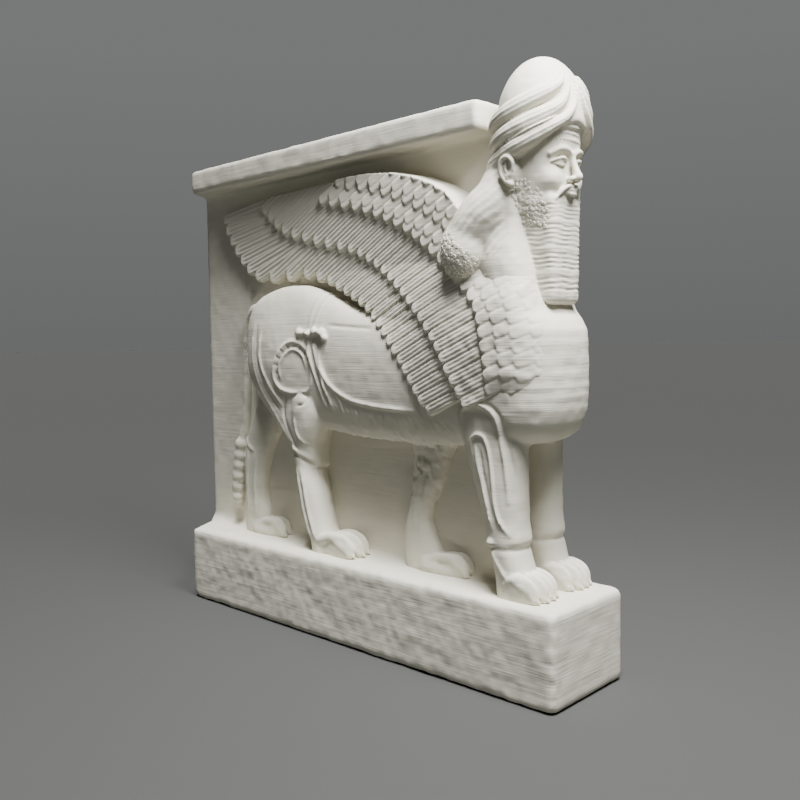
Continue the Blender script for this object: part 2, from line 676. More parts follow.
def tips_along(row, pitch):
    """Tips along a row's curve, a pitch apart as measured across the feathers."""
    line = smooth_line(row, 80)
    turn = feather_turn(line[1:, 0])
    step = np.diff(line, axis=0)
    covered = np.cumsum(np.abs(step[:, 0] * np.sin(turn) - step[:, 1] * np.cos(turn)))
    tips = []
    goal = pitch(line[0, 0])
    for place, run in zip(line[1:], covered):
        if run >= goal:
            tips.append(place)
            goal = run + pitch(place[0])
    return np.array(tips)


# %% Painting feathers
FINE = 0.1
TIP_POWER = 2.7
MAP_X = np.arange(2, 101.01, FINE)
MAP_Z = np.arange(28.6, 76.01, FINE)


def paint_feather(relief, tip, above, below, length, style):
    """Paints one feather over what is there; above and below are its half widths."""
    turn = feather_turn(tip[0])
    c, s = np.cos(turn), np.sin(turn)
    reach = length + above + below
    i0, i1 = np.searchsorted(MAP_X, (tip[0] - 3, tip[0] + reach))
    k0, k1 = np.searchsorted(MAP_Z, (tip[1] - 5, tip[1] + reach * s + 5))
    x = MAP_X[i0:i1, None] - tip[0]
    z = MAP_Z[None, k0:k1] - tip[1]
    back = x * c + z * s
    side = x * s - z * c
    half = np.where(side > 0, below, above)
    nose = style["nose"] * (above + below) / 2
    limit = np.clip(1 - (1 - np.clip(back / nose, 0, 1)) ** TIP_POWER, 0, 1) ** (1 / TIP_POWER)
    rim = (limit - np.abs(side) / half) * half
    inside = (back > 0) & (back < length) & (rim > 0)
    across_share = np.abs(side) / half
    height = style["base"] + style["lift"] * (1 - back / length)
    height = height - style["edge"] * np.clip(1 - rim / style["round"], 0, 1) ** 2
    shaft = np.exp(-(((across_share - style["groove_at"]) / 0.13) ** 2))
    height = height - style["groove"] * shaft * np.clip((back - 0.7 * nose) / nose, 0, 1)
    view = relief[i0:i1, k0:k1]
    view[inside] = height[inside]


def paint_row(relief, tips, length, style):
    """Paints a row of feathers whose edges meet half-way between their tips."""
    for i, tip in enumerate(tips):
        turn = feather_turn(tip[0])
        halves = []
        for other in (i - 1, i + 1):
            other = 2 * i - other if not 0 <= other < len(tips) else other
            gap = tips[other] - tip
            halves.append(abs(gap[0] * np.sin(turn) - gap[1] * np.cos(turn)) / 2)
        paint_feather(relief, tip, *halves, length, style)


LONG_STYLE = {
    "base": 0.0, "lift": 0.35, "edge": 0.42, "round": 0.34, "nose": 0.85, "groove": 0.26, "groove_at": 0.36,
}
SECOND_STYLE = {**LONG_STYLE, "base": 0.4}
SCALE_STYLE = {
    "base": 0.75, "lift": 0.5, "edge": 0.26, "round": 0.34, "nose": 0.9, "groove": 0.0, "groove_at": 0.4,
}
FEATHER_LENGTH = 24
ROOT_PITCH = 2.15
SCALE_ROWS = 13
SCALE_STEP = 3.0
SCALE_PITCH = 2.25
OFF = -9.0

# %% The map of heights
relief_map = np.full((len(MAP_X), len(MAP_Z)), OFF)
long_tips = tips_along(LONG_ROW, lambda x: 2.7 if x < 40 else ROOT_PITCH)
second_tips = tips_along(SECOND_ROW, lambda x: 2.6 if x < 45 else ROOT_PITCH)
paint_row(relief_map, long_tips, FEATHER_LENGTH, LONG_STYLE)
paint_row(relief_map, second_tips, FEATHER_LENGTH, SECOND_STYLE)
first_scales = tips_along(SCALE_ROW, lambda x: SCALE_PITCH)
for row in range(SCALE_ROWS):
    turn = feather_turn(first_scales[:, 0])
    stagger = (row % 2) * SCALE_PITCH / 2
    scales = first_scales + np.stack([
        row * SCALE_STEP * np.cos(turn) + stagger * np.sin(turn),
        row * SCALE_STEP * np.sin(turn) - stagger * np.cos(turn),
    ], axis=1)
    paint_row(relief_map, scales, 1.9 * SCALE_STEP, SCALE_STYLE)
wing_top = np.interp(MAP_X, WING_TOP[:, 0], WING_TOP[:, 1])
relief_map[MAP_Z[None, :] > wing_top[:, None]] = OFF
print(len(long_tips), "long feathers,", len(second_tips), "over them,", len(first_scales), "scales in a row")

# %% [markdown]
# The skin under the feathers is thin at the wing's tip and deep at the shoulder. Over the flank it rests
# on the body, wherever the body stands out further.

# %% Laying the skin
def blur(values, reach):
    """Softens a map by a bell curve whose width is the reach, in cells."""
    span = int(3 * reach) + 1
    bell = np.exp(-0.5 * (np.arange(-span, span + 1) / reach) ** 2)
    bell /= bell.sum()
    for axis in (0, 1):
        padded = np.pad(values, [(span, span) if axis == k else (0, 0) for k in (0, 1)], mode="edge")
        cells = np.arange(values.shape[axis])
        values = sum(weight * np.take(padded, cells + i, axis=axis) for i, weight in enumerate(bell))
    return values


def clay_front(clay, xs, zs):
    """How far out the clay's carved side stands at each x and z."""
    inside = clay.field < 0
    last = inside.shape[1] - 1 - np.argmax(inside[:, ::-1, :], axis=1)
    found = inside.any(axis=1)
    outs = np.where(found, clay.low[1] + clay.step * last, -2.0)
    i = np.clip(((xs - clay.low[0]) / clay.step), 0, outs.shape[0] - 1.001)
    k = np.clip(((zs - clay.low[2]) / clay.step), 0, outs.shape[1] - 1.001)
    outs = blur(outs, 1.5)
    i0, k0 = i.astype(int), k.astype(int)
    past_x, past_z = (i - i0)[:, None], (k - k0)[None, :]
    corner = [[outs[np.ix_(i0 + a, k0 + b)] for b in (0, 1)] for a in (0, 1)]
    low = corner[0][0] * (1 - past_x) + corner[1][0] * past_x
    high = corner[0][1] * (1 - past_x) + corner[1][1] * past_x
    return low * (1 - past_z) + high * past_z


def chest_reach(turn, z):
    """How far the round of the chest is from its axis, and the direction."""
    table = smooth_line(chest_stations, 6)
    front = np.interp(z, table[:, 0], table[:, 1])
    side = np.interp(z, table[:, 0], table[:, 2])
    s, c = np.sin(turn), np.cos(turn)
    return (np.abs(s / front) ** CHEST_POWER + np.abs(c / side) ** CHEST_POWER) ** (-1 / CHEST_POWER)


def skin_places(x, z, out_or_lift):
    """Places of the wing's skin: out from the slab up to the shoulder, then round the chest."""
    turn = np.clip((x - CHEST_X) / CHEST_HALF, 0, None)
    reach = chest_reach(turn, z) + out_or_lift
    past = x > CHEST_X
    px = np.where(past, CHEST_X + reach * np.sin(turn), x)
    out = np.where(past, MIDDLE + reach * np.cos(turn), out_or_lift)
    return to_frame(px, out, z)


SKIN_X = MAP_X[::2]
SKIN_Z = MAP_Z[::2]


def smooth_relief():
    """How far each place is covered and the painted heights, softened, at every second cell."""
    painted = relief_map > OFF
    covered = blur(painted.astype(float), 1.3)
    relief = blur(np.where(painted, relief_map, 0), 1.3) / np.maximum(covered, 1e-3)
    return covered[::2, ::2], relief[::2, ::2]


def wing_skin(x, z, front):
    """How far out the skin under the feathers stands, hollowed where the bunch of hair hangs."""
    chest_side = np.interp(z, chest_stations[:, 0], chest_stations[:, 2])
    shoulder = MIDDLE + np.maximum(chest_side, 7.4) - 0.6
    along = np.clip((x - 16 + 0.25 * (58.7 - z)) / 62, 0, 1)
    wing_out = 1.4 + (shoulder - 1.4) * along ** 1.4
    skin = -soft_least(-wing_out, -(front + 0.1), 1.2)
    skin = skin - 0.9 * np.exp(-(((x - 80.5) / 5.5) ** 2) - (((z - 58) / 6.5) ** 2))
    join = np.clip((x - 79) / 9, 0, 1) ** 2
    return skin * (1 - join) + (MIDDLE + chest_reach(np.zeros_like(x), z)) * join


def wear_away(x, z, relief):
    """Wears the scales down over the front of the breast, at its foot and up the neck."""
    breast = np.clip((x - 91) / 8.5, 0, 1) + np.clip((37 - z) / 6, 0, 1) * np.clip((x - 84.5) / 4, 0, 1)
    neck = np.clip((z - 49.5) / 7, 0, 1) * np.clip((x - 82.5) / 3, 0, 1)
    worn = np.clip(np.maximum(breast, neck), 0, 1)
    relief = relief * (1 - 0.45 * np.clip((x - 78) / 12, 0, 1))
    relief = relief * (1 - worn) - 0.5 * worn
    return relief + 0.08 * lumps(x, 0 * x, z, 1.3, 41) * np.clip((x - 70) / 12, 0.2, 1)


# %% The wing as a shell
def lay_wing():
    """A closed shell: the relief on its skin above, and an underside that lies inside the body."""
    covered, relief = smooth_relief()
    x, z = np.meshgrid(SKIN_X, SKIN_Z, indexing="ij")
    front = clay_front(body_clay, SKIN_X, SKIN_Z)
    relief = wear_away(x, z, relief)
    past = x > CHEST_X
    top = np.where(past, relief, wing_skin(x, z, front) + relief)
    under = np.where(past, -0.5, np.maximum(front, 0) - 0.35)
    top = under + np.clip(1.02 * covered - 0.01, 0, 1) * (top - under)
    deep = np.where(past, -4.0, IN_SLAB)

    shown = covered > 0.02
    deep_index = np.arange(x.size).reshape(x.shape) + x.size
    top_index = np.where(shown, deep_index - x.size, deep_index)
    cell = shown[:-1, :-1] | shown[1:, :-1] | shown[1:, 1:] | shown[:-1, 1:]

    def cell_faces(index):
        corners = [index[:-1, :-1], index[1:, :-1], index[1:, 1:], index[:-1, 1:]]
        return np.stack([corner[cell] for corner in corners], axis=1)

    places = np.concatenate([skin_places(x, z, level).reshape(-1, 3) for level in (top, deep)])
    faces = np.concatenate([cell_faces(top_index), cell_faces(deep_index)[:, ::-1]])
    used, faces = np.unique(faces, return_inverse=True)
    return mesh_object("wing", places[used], faces.reshape(-1, 4))


wing = lay_wing()
thin(wing, MOST_TRIANGLES)

# %% [markdown]
# ## The block
#
# Plinth, slab and ledge are one block of stone. Its left end runs back at a slant, its edges are worn
# round, and the near faces keep the pits of the rock. The slab's own face is smoother, because the
# carver worked it.

# %% Plinth, slab and ledge
block_left, block_right = to_shares(cad_low.x, 0, 0)[0], to_shares(cad_high.x, 0, 0)[0]
block_near, block_back = to_shares(0, cad_low.y, 0)[1], to_shares(0, cad_high.y, 0)[1]
block_foot = -PLINTH_HEIGHT / SHARE
slab_top = SLAB_HEIGHT / SHARE
ledge_top = slab_top + LEDGE_HEIGHT / SHARE
slant_run = END_SLANT / RELIEF_ROOM
slant_cosine = 1 / math.sqrt(1 + slant_run ** 2)


def most(planes, edge):
    """The greatest of several distances, with every edge between them rounded."""
    total = -planes[0]
    for plane in planes[1:]:
        total = soft_least(total, -plane, edge)
    return -total


def block_part(right, near, foot, top, edge):
    """A part of the block, from the slanted left end to its own right end."""

    def distance(x, out, z):
        slant = (block_left + slant_run * np.clip(out, 0, None) - x) * slant_cosine
        ends = most([x - right, block_left - x, slant], edge)
        sides = most([out - near, block_back - out], edge)
        return most([ends, sides, foot - z, z - top], edge).astype(np.float32)

    return distance, (block_left, block_back, foot), (right, near, top)


def chips(x, out, z):
    """Rough rock: broad lumps, smaller ones on them, and slanting scratches."""
    scratches = lumps(0.5 * x + 0.5 * z, out, 0.8 * z - 0.8 * x, 0.7, 32)
    return 0.7 * lumps(x, out, z, 3.4, 31) + 0.4 * lumps(x, out, z, 1.6, 36) + 0.3 * scratches


def carve_block():
    """The block, rough on its near faces and cut flat at the foot, the back and the left end."""
    low = (block_left - 1, block_back - 1, block_foot - 1)
    high = (block_right + 1, block_near + 1, ledge_top + 1)
    clay = Clay(low, high, 0.42)
    slab_right = block_right - SLAB_END_GAP / SHARE
    ledge_right = block_right - LEDGE_END_GAP / SHARE
    clay.add(block_part(slab_right, 0.0, block_foot + 4, slab_top + 2, 1.2))
    clay.add(block_part(ledge_right, LEDGE_OVERHANG / SHARE, slab_top, ledge_top, 1.1), 0.8)
    clay.add(block_part(block_right, block_near, block_foot, 0.0, 1.5), 2.2)

    def plinth_wear(x, out, z):
        return 0.12 * chips(x, out, z) * np.clip((out - 3) / 5, 0, 1)

    def plinth_pits(x, out, z):
        return 0.05 * lumps(x, out, z, 0.9, 33) * np.clip(out - 8.4, 0, 1)

    def ledge_wear(x, out, z):
        return 0.05 * chips(x, out, z)

    def soft_wear(x, out, z):
        return 0.05 * lumps(x, out, z, 2.0, 34)

    for wear in (plinth_wear, plinth_pits):
        clay.raise_by(wear, (-50, 2.0, -50), (150, 50, 1.5))
    clay.raise_by(ledge_wear, (-50, 1.5, slab_top - 1), (150, 50, ledge_top + 1))
    clay.raise_by(soft_wear, *EVERYWHERE)
    part, x, out, z = clay.window(*EVERYWHERE)
    flat = np.maximum(np.maximum(block_foot - z, block_back - out), block_left - x)
    clay.field[part] = np.maximum(clay.field[part], flat)
    return clay


block = carve_block().mesh("block")

# %% [markdown]
# ## Printed plastic
#
# The print is matte bone-white filament. Layer lines run level all round, uneven from one to the next,
# with a few blobs where the nozzle stopped. The lines are only a bump on the surface; every pattern is
# sized from the real millimetres through the object's own coordinates.

# %% Nodes and the material
def colour(code):
    """An sRGB colour written in hexadecimal, as linear values."""
    values = [int(code[k:k + 2], 16) / 255 for k in (0, 2, 4)]
    return tuple(v / 12.92 if v <= 0.04045 else ((v + 0.055) / 1.055) ** 2.4 for v in values) + (1.0,)


def add_node(tree, kind, inputs=None, **settings):
    """A node of a kind, with its settings, and values or links for its inputs by socket name or number."""
    node = tree.nodes.new(kind)
    for name, value in settings.items():
        setattr(node, name, value)
    for name, value in (inputs or {}).items():
        if isinstance(value, bpy.types.NodeSocket):
            tree.links.new(value, node.inputs[name])
        else:
            node.inputs[name].default_value = value
    return node


def print_material():
    """Matte bone-white printed plastic."""
    material = bpy.data.materials.new("bone_white_pla")
    material.use_nodes = True
    tree = material.node_tree
    tree.nodes.clear()
    places = add_node(tree, "ShaderNodeTexCoord").outputs["Object"]

    def noise(x_mm, z_mm, detail, rough=0.6):
        scaled = add_node(tree, "ShaderNodeMapping", {
            "Vector": places, "Scale": (1 / (x_mm * MM), 1 / (x_mm * MM), 1 / (z_mm * MM)),
        })
        made = add_node(tree, "ShaderNodeTexNoise", {
            "Vector": scaled.outputs[0], "Scale": 1.0, "Detail": detail, "Roughness": rough,
        })
        return made.outputs[0]

    def maths(operation, *values):
        return add_node(tree, "ShaderNodeMath", dict(enumerate(values)), operation=operation).outputs[0]

    bands = noise(22, 0.8, 2.0)
    lines = noise(9, 0.3, 1.0)
    grain = noise(0.45, 0.45, 2.0)
    blobs = add_node(tree, "ShaderNodeTexVoronoi", {
        "Vector": places, "Scale": 1 / (2.381 * MM),
    }, feature="F1")
    blob = maths("MULTIPLY", maths("LESS_THAN", blobs.outputs["Distance"], 0.075), 0.18)
    layers = maths("ADD", maths("MULTIPLY", bands, 0.6), maths("MULTIPLY", lines, 0.3))
    height = maths("ADD", maths("ADD", layers, maths("MULTIPLY", grain, 0.16)), blob)
    bump = add_node(tree, "ShaderNodeBump", {"Height": height, "Strength": 0.26, "Distance": 0.4 * MM})
    tint = add_node(tree, "ShaderNodeMix", {
        0: noise(6, 2.5, 3.0), 6: colour("E1DDCE"), 7: colour("D6D2C2"),
    }, data_type="RGBA")
    plastic = add_node(tree, "ShaderNodeBsdfPrincipled", {
        "Base Color": tint.outputs[2], "Normal": bump.outputs[0], "Roughness": 0.62,
        "Specular IOR Level": 0.35,
    })
    end = add_node(tree, "ShaderNodeOutputMaterial")
    tree.links.new(plastic.outputs[0], end.inputs[0])
    return material


bone = print_material()

# %% [markdown]
# ## The head
#
# The head is in the round: an egg-shaped cap wrapped by three pairs of horns, a smooth headband over a
# row of beads, hair falling behind the ears to a bunch on each shoulder, and a long square beard in waves.
# The face is a calm general one in plain proportions: eyes half-way between crown and chin, the nose's
# foot and the mouth at even steps below them.

# %% Cap, horns and headband
HEAD_X = 90.8
FACE_X = HEAD_X + 5.9
CAP = np.array([
    (69, 5.8), (71, 6.7), (73, 7.2), (75.5, 7.4), (78, 7.35), (80.5, 7.1), (82.5, 6.7), (84.5, 5.9),
    (86.3, 4.75), (87.7, 3.3), (88.5, 1.9), (SHARES_TALL, 0.3),
])


def both(form_of, clay, blend, cut=False):
    """Adds or cuts a form on the near side and its mirror on the far side; form_of takes the side."""
    for side in (1, -1):
        (clay.cut if cut else clay.add)(form_of(side), blend)


def head_side(side, places):
    """Places written x, distance from the figure's middle plane, z, radius, as places on one side."""
    return [(x, MIDDLE + side * gap, z, radius) for x, gap, z, radius in places]


# A horn's places are the turn from the brow, z and half its width.
HORNS = (
    ((3.2, 71.0, 1.2), (2.4, 71.7, 1.35), (1.57, 73.3, 1.4), (1.1, 74.8, 1.35), (0.75, 76.2, 1.15),
     (0.48, 77.4, 0.9), (0.28, 78.9, 0.65), (0.16, 80.8, 0.45), (0.1, 83, 0.3)),
    ((3.2, 74.0, 1.4), (2.4, 74.6, 1.5), (1.57, 76.2, 1.6), (1.05, 77.6, 1.5), (0.7, 78.9, 1.2),
     (0.48, 80.4, 0.85), (0.34, 82.2, 0.6), (0.26, 84, 0.35)),
    ((3.2, 77.3, 1.5), (2.4, 78.0, 1.6), (1.57, 79.5, 1.7), (1.05, 81, 1.45), (0.72, 82.2, 1.1),
     (0.5, 83.5, 0.8), (0.38, 84.9, 0.4)),
)
CAP_EDGE = np.array([
    (0, 77.2), (0.3, 76.7), (0.6, 75.4), (0.9, 74.2), (1.2, 73), (1.57, 72), (2.2, 70.5), (3.2, 69.4),
])


def cap_form():
    """The egg of the cap, cut along its lower edge, which climbs from the nape to the brow."""
    egg_distance, low, high = stack(ringed(HEAD_X, [(z, r, r) for z, r in CAP]), 2.0)

    def distance(x, out, z):
        turn = np.abs(np.arctan2(out - MIDDLE, x - HEAD_X))
        edge = np.interp(turn, CAP_EDGE[:, 0], CAP_EDGE[:, 1]).astype(np.float32)
        return -soft_least(-egg_distance(x, out, z), -(0.85 * (edge - z)), 0.7)

    room = 1.5
    return distance, low - room, high + room


def horn_height(path):
    """How high a horn stands over the cap: a roll with fine lines along it, on the unrolled cap."""
    line = smooth_line(path, 5)
    unroll = 7.6

    def height(x, out, z):
        turn = unroll * np.abs(np.arctan2(out - MIDDLE, x - HEAD_X)) + 0 * z
        level = z + 0 * turn
        least = np.full(turn.shape, 1e3, np.float32)
        offset = np.zeros_like(least)
        size = np.ones_like(least)
        for start, end in zip(line[:-1], line[1:]):
            run = np.array([unroll * (end[0] - start[0]), end[1] - start[1]])
            length = max(float(run @ run), 1e-9)
            along, up = turn - unroll * start[0], level - start[1]
            t = np.clip((along * run[0] + up * run[1]) / length, 0, 1)
            half = start[2] + t * (end[2] - start[2])
            gap = np.sqrt((along - t * run[0]) ** 2 + (up - t * run[1]) ** 2) / half
            nearer = gap < least
            offset = np.where(nearer, np.sign(along * run[1] - up * run[0]) * gap, offset)
            size = np.where(nearer, half, size)
            least = np.minimum(least, gap)
        roll = np.sqrt(np.clip(1 - offset ** 2, 0, 1))
        fine = 0.06 * np.cos(13 * offset) * np.clip(2 * roll - 0.7, 0, 1)
        return 1.3 * np.sqrt(size / 1.6) * roll + fine

    return height


def carve_cap(clay):
    """The cap and three horns a side; the sides are alike, so a horn is drawn on both at once."""
    clay.add(cap_form())
    for path in HORNS:
        clay.raise_by(horn_height(path), (80, -12, 68.5), (101, 9.5, 87))
    lowest = np.array([(turn, z - 1.02 * half) for turn, z, half in HORNS[0] if turn > 0.45])[::-1]
    part, x, out, z = clay.window((80, -12, 68), (101, 9.5, 80))
    turn = np.abs(np.arctan2(out - MIDDLE, x - HEAD_X))
    edge = np.interp(turn, lowest[:, 0], lowest[:, 1]).astype(np.float32)
    clay.field[part] = -soft_least(-clay.field[part], z - edge, 0.5)


def carve_headband(clay):
    """A smooth band over the brow's row of beads, both under the lowest horns."""
    clay.add(stack([
        (72, HEAD_X - 5.8, FACE_X - 0.1, MIDDLE - 5.6, MIDDLE + 5.6),
        (74.2, HEAD_X - 5.8, FACE_X + 0.1, MIDDLE - 5.75, MIDDLE + 5.75),
        (76.2, HEAD_X - 5.8, FACE_X + 0.35, MIDDLE - 6, MIDDLE + 6),
        (79.5, HEAD_X - 5.8, FACE_X + 0.9, MIDDLE - 6.5, MIDDLE + 6.5),
    ], 2.3))
    for z, reach, radius in ((76.6, 0.35, 0.42), (77.6, 0.5, 0.55)):
        turns = np.linspace(-1.75, 1.75, 15)
        front, side = 6 + reach, 5.9 + 0.5 * reach
        band = [(HEAD_X + front * np.cos(t), MIDDLE + side * np.sin(t), z, radius) for t in turns]
        clay.add(limb(band, 2), 0.3)


head_clay = Clay((73, -13.5, 45.5), (101, 11.5, 89.5), 0.18)
carve_cap(head_clay)
carve_headband(head_clay)
print("cap done")

# %% Face
def carve_face(clay):
    """Skull, brow, eyes, nose and mouth, by the plain rules of drawing."""
    front = FACE_X
    eye, brow, nose, mouth = 71.1, 72.9, 68.0, 66.4
    clay.add(stack([
        (60, 85, front - 1.8, MIDDLE - 4.6, MIDDLE + 4.6),
        (64, 85, front - 0.8, MIDDLE - 4.9, MIDDLE + 4.9),
        (67, 85, front - 0.25, MIDDLE - 5.3, MIDDLE + 5.3),
        (70, 85, front - 0.35, MIDDLE - 5.6, MIDDLE + 5.6), (73, 85, front, MIDDLE - 5.7, MIDDLE + 5.7),
        (75, 85, front + 0.1, MIDDLE - 5.75, MIDDLE + 5.75),
    ], 2.4), 0.4)
    both(lambda s: egg((front, MIDDLE + s * 2.3, eye), (1.0, 1.6, 1.0)), clay, 0.6, cut=True)
    both(lambda s: egg((front - 2.4, MIDDLE + s * 3.0, 68.4), (2.1, 1.9, 2.0)), clay, 0.9)
    both(lambda s: limb(head_side(s, [
        (front + 0.1, 0.45, brow - 0.55, 0.32), (front + 0.15, 1.5, brow, 0.42),
        (front - 0.2, 2.9, brow + 0.05, 0.42), (front - 1.3, 4.3, brow - 0.7, 0.28),
    ])), clay, 0.5)
    both(lambda s: egg((front - 1.12, MIDDLE + s * 2.3, eye), (0.95, 1.15, 0.85)), clay, 0.1)
    both(lambda s: limb(head_side(s, [
        (front - 0.6, 0.95, eye - 0.15, 0.14), (front - 0.15, 1.5, eye + 0.32, 0.26),
        (front - 0.15, 2.4, eye + 0.5, 0.3), (front - 0.6, 3.3, eye + 0.25, 0.26),
        (front - 1.3, 4.0, eye - 0.15, 0.14),
    ])), clay, 0.12)
    both(lambda s: limb(head_side(s, [
        (front - 0.6, 0.95, eye - 0.2, 0.12), (front - 0.32, 1.8, eye - 0.6, 0.18),
        (front - 0.55, 2.9, eye - 0.58, 0.18), (front - 1.3, 3.9, eye - 0.2, 0.1),
    ])), clay, 0.12)
    clay.add(limb([
        (front - 0.05, MIDDLE, brow - 0.6, 0.5), (front + 0.3, MIDDLE, eye, 0.5),
        (front + 0.85, MIDDLE, nose + 1.5, 0.6), (front + 1.2, MIDDLE, nose + 0.65, 0.72),
    ]), 0.5)
    both(lambda s: egg((front + 0.35, MIDDLE + s * 0.85, nose + 0.35), (0.8, 0.5, 0.5)), clay, 0.35)
    nostril = (0.32, 0.22, 0.22)
    both(lambda s: egg((front + 0.6, MIDDLE + s * 0.55, nose - 0.12), nostril), clay, 0.1, cut=True)
    for z, gap, radius in ((mouth + 0.3, 0.7, 0.34), (mouth - 0.35, 0.5, 0.37)):
        clay.add(limb([
            (front - 0.5, MIDDLE - 1.6, mouth, 0.15), (front + 0.15, MIDDLE - gap, z, radius),
            (front + 0.22, MIDDLE, z, radius), (front + 0.15, MIDDLE + gap, z, radius),
            (front - 0.5, MIDDLE + 1.6, mouth, 0.15),
        ]), 0.15)


EAR = (89.5, 6.9, 70.0)


def carve_ears(clay):
    """Shell, rim and lobe of each ear, standing clear of the lowest horn."""
    x, gap, z = EAR
    both(lambda s: egg((x, MIDDLE + s * (gap - 0.6), z), (1.35, 1.9, 2.15)), clay, 0.3)
    both(lambda s: limb(head_side(s, [
        (x + 0.95, gap + 0.7, z - 0.1, 0.24), (x + 1.05, gap + 0.95, z + 1.2, 0.36),
        (x + 0.1, gap + 1.15, z + 2.05, 0.42), (x - 1.1, gap + 1.05, z + 1.3, 0.42),
        (x - 1.25, gap + 0.85, z - 0.3, 0.38), (x - 0.4, gap + 0.7, z - 1.7, 0.38),
        (x + 0.4, gap + 0.4, z - 2.2, 0.55),
    ])), clay, 0.15)
    shell = (0.72, 0.75, 1.3)
    both(lambda s: egg((x + 0.05, MIDDLE + s * (gap + 1.35), z + 0.3), shell), clay, 0.25, cut=True)
    both(lambda s: limb(head_side(s, [
        (x - 0.2, gap + 0.95, z + 1.3, 0.18), (x - 0.35, gap + 0.85, z + 0.1, 0.2),
        (x + 0.3, gap + 0.75, z - 0.9, 0.24),
    ])), clay, 0.15)


carve_face(head_clay)
print("face done")

# %% [markdown]
# The beard is dressed like cloth: sets of fine ridges between plain bands, down to a square foot. Its
# ridges are pressed in with rounded grooves, at the heights where the sets lie.

# %% Beard and moustache
BEARD_TOP = 65.0
BEARD_FOOT = 48.4
BEARD_BACK = 87.5
BEARD_SETS = ((64.2, 3, 0.68), (60.9, 4, 0.76), (56.4, 3, 0.74), (52.6, 2, 0.9))
JAW = ((91.3, 64.6), (4.2, 4.75, 5.0))
JAW_GAP = 0.5


def carve_beard(clay):
    """The square beard and the jaw it grows from."""
    rows = [
        (BEARD_FOOT, BEARD_BACK, 94.8, 3.5), (48.9, BEARD_BACK, 95.6, 4.0), (50, BEARD_BACK, 95.9, 4.2),
        (56, BEARD_BACK, 96.0, 4.3),
        (62, BEARD_BACK, 96.1, 4.4), (65, BEARD_BACK, 96.1, 4.5), (66.3, 88, 95.6, 4.3),
    ]
    clay.add(stack([(z, x0, x1, MIDDLE - half, MIDDLE + half) for z, x0, x1, half in rows], 6.0), 0.25)
    (x, z), radii = JAW
    both(lambda s: egg((x, MIDDLE + s * JAW_GAP, z), radii), clay, 0.6)

    def groove_at(level):
        def groove(x, out, z):
            wave = 0.09 * np.sin(1.3 * out + 0.5 * level) + 0.09 * np.sin(1.6 * x)
            return -0.12 * np.exp(-(((z - level - wave) / 0.2) ** 2)) * (x > 88.5)

        return groove

    for start, ridges, pitch in BEARD_SETS:
        for k in range(ridges + 1):
            level = start - k * pitch
            clay.raise_by(groove_at(level), (86, -8, level - 1.2), (98, 6, level + 1.2))

    def waves(x, out, z):
        return 0.02 * np.sin(9 * z + 1.5 * np.sin(0.9 * out + 0.4 * z)) * (x > 88.5)

    clay.raise_by(waves, (86, -8, BEARD_FOOT + 0.4), (98, 6, BEARD_TOP - 0.4))
    both(lambda s: limb(head_side(s, [
        (FACE_X + 0.35, 0.2, 67.3, 0.24), (FACE_X + 0.2, 1.2, 67.2, 0.36), (FACE_X - 0.3, 2.2, 66.6, 0.38),
        (FACE_X - 0.75, 2.9, 65.7, 0.34), (FACE_X - 1.05, 3.3, 65.2, 0.46),
    ])), clay, 0.15)


carve_beard(head_clay)
print("beard done")

# %% Hair and neck
BULB = ((79.9, 5.8, 58.0), (4.4, 3.9, 5.4))


def side_out(side, out):
    """A distance from the slab's face on the near side, or its mirror."""
    return out if side > 0 else across(out)


def carve_hair(clay):
    """The mass behind the ears, and the falls to the bunches, with the comb's lines."""
    neck = []
    for z, reach, side in smooth_line(chest_stations, 3):
        if z > 48:
            cover = np.clip(0.09 * (z - 52.5), -0.35, 0.25)
            neck.append((z, reach + cover, side + cover))
    clay.add(stack(ringed(CHEST_X, neck), CHEST_POWER), 0.3)
    for side in (1, -1):
        fall = [
            (79.9, 5.0, 59.5, 4.0), (81.7, 5.0, 62.0, 4.1), (83.8, 4.4, 64.3, 4.2), (85.5, 3.4, 66.7, 4.0),
            (86.2, 2.5, 69.6, 3.6),
        ]
        clay.add(limb([(x, side_out(side, out), z, radius) for x, out, z, radius in fall]), 2.2)
        clay.add(egg((85.6, side_out(side, 3.3), 55.5), (4.4, 3.6, 6.5)), 1.6)
        (x, out, z), radii = BULB
        clay.add(egg((x, side_out(side, out), z), radii), 0.5)

    def comb(x, out, z):
        along = 0.74 * (x - 80) + 0.67 * (z - 60)
        across_hair = -0.67 * (x - 80) + 0.74 * (z - 60)
        place = np.clip((along - 0.5) / 2.0, 0, 1) * np.clip(88.8 - x, 0, 1) * (np.abs(out - MIDDLE) > 4)
        return 0.035 * np.sin(5.2 * across_hair + 0.9 * np.sin(0.9 * along)) * place

    clay.raise_by(comb, (75, -13, 57), (89.5, 11, 73))


carve_hair(head_clay)
carve_ears(head_clay)
head_clay.raise_by(lambda x, out, z: 0.05 * lumps(x, out, z, 1.1, 21), *EVERYWHERE)
head = head_clay.mesh("head")

# %% [markdown]
# ## Curls
#
# The bunches and the jaw are covered in small curls, and the headband in beads. They repeat, so Geometry
# Nodes places them: one small spiral, set on a patch of the form at a spacing, turned to face outward.

# %% Patches and curls
def patch(name, x, out, z, keep):
    """A sheet through rows of places, as a mesh object, only where keep is true."""
    index = np.arange(x.size).reshape(x.shape)
    corners = [index[:-1, :-1], index[:-1, 1:], index[1:, 1:], index[1:, :-1]]
    faces = np.stack(corners, axis=-1).reshape(-1, 4)
    middle = [values.reshape(-1)[faces].mean(axis=1) for values in (x, out, z)]
    return mesh_object(name, to_frame(x, out, z).reshape(-1, 3), faces[keep(*middle)])


